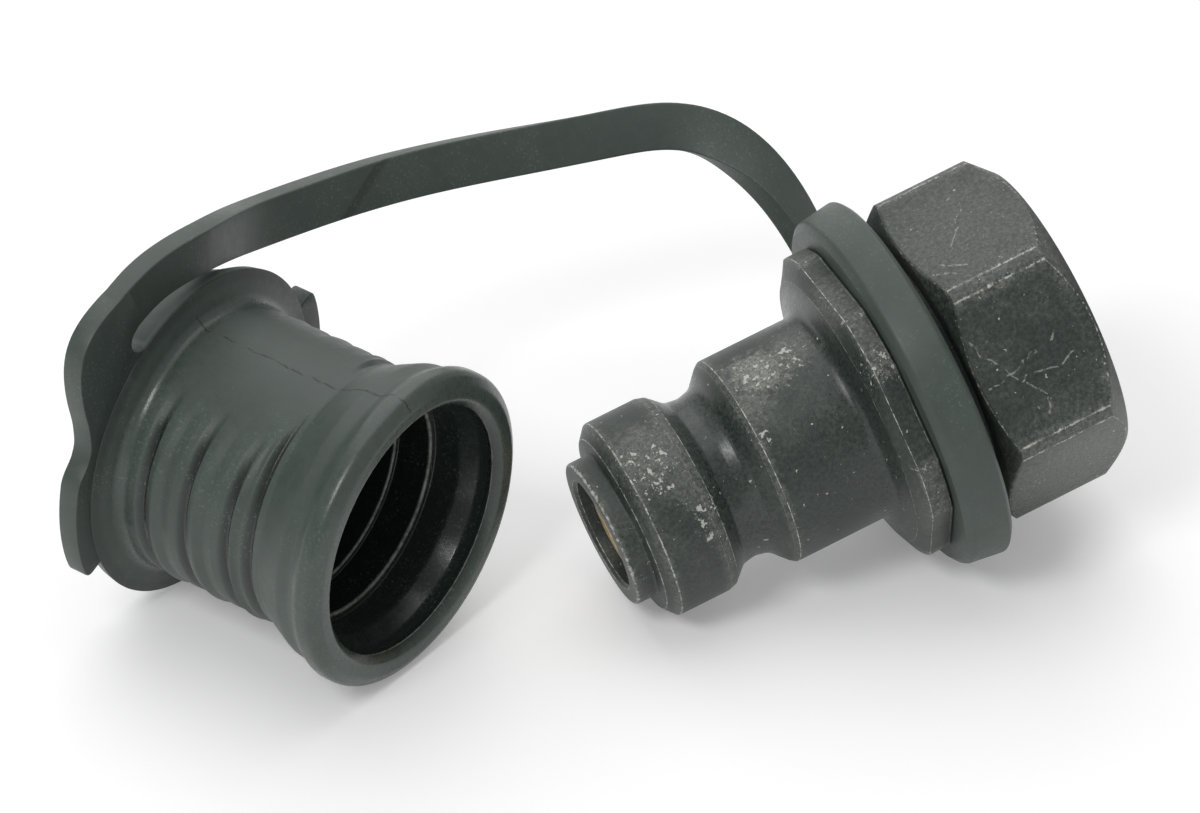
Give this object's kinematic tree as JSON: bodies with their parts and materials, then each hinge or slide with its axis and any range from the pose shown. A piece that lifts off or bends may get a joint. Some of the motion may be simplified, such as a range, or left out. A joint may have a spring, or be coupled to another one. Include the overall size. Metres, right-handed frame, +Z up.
{
  "type": "ultra high pressure coupling plug",
  "caption": "Ultra high pressure coupling plug with a hexagonal body, locking groove, spring-loaded poppet and threaded port, and a rubber dust cap on a twisted strap and ring.",
  "frame": {"origin": "centre of the bounding box on the floor plane that the plug and its dust cap lie on", "axes": "+X along the floor from the nose towards the port end, +Z up, +Y away from the cap's mouth"},
  "size_m": [0.092, 0.051, 0.036],
  "materials": {
    "blackened_steel": "black phosphate, worn at the edges",
    "brass": "turned",
    "seal_rubber": "smooth",
    "spring_steel": "drawn wire",
    "cap_rubber": "moulded matte rubber"
  },
  "bodies": {
    "plug": {"plug_body": "blackened_steel", "valve_spring": "spring_steel", "valve_guide": "brass", "retaining_ring": "spring_steel"},
    "poppet": {"valve_poppet": "brass", "poppet_seal": "seal_rubber"},
    "cap": {"dust_cap": "cap_rubber"}
  },
  "joints": [
    {"name": "cap_ring_swivel", "type": "hinge", "parent": "plug", "child": "cap", "pos_m": [0.02753, -0.00857, 0.01625], "axis": [0.959, 0, 0.2836], "continuous": true},
    {"name": "poppet_press", "type": "slide", "parent": "plug", "child": "poppet", "axis": [0.959, 0, 0.2836], "range_m": [0, 0.003], "stiffness_N_per_m": 800, "springref_m": -0.004, "deforming": ["valve_spring"]}
  ]
}
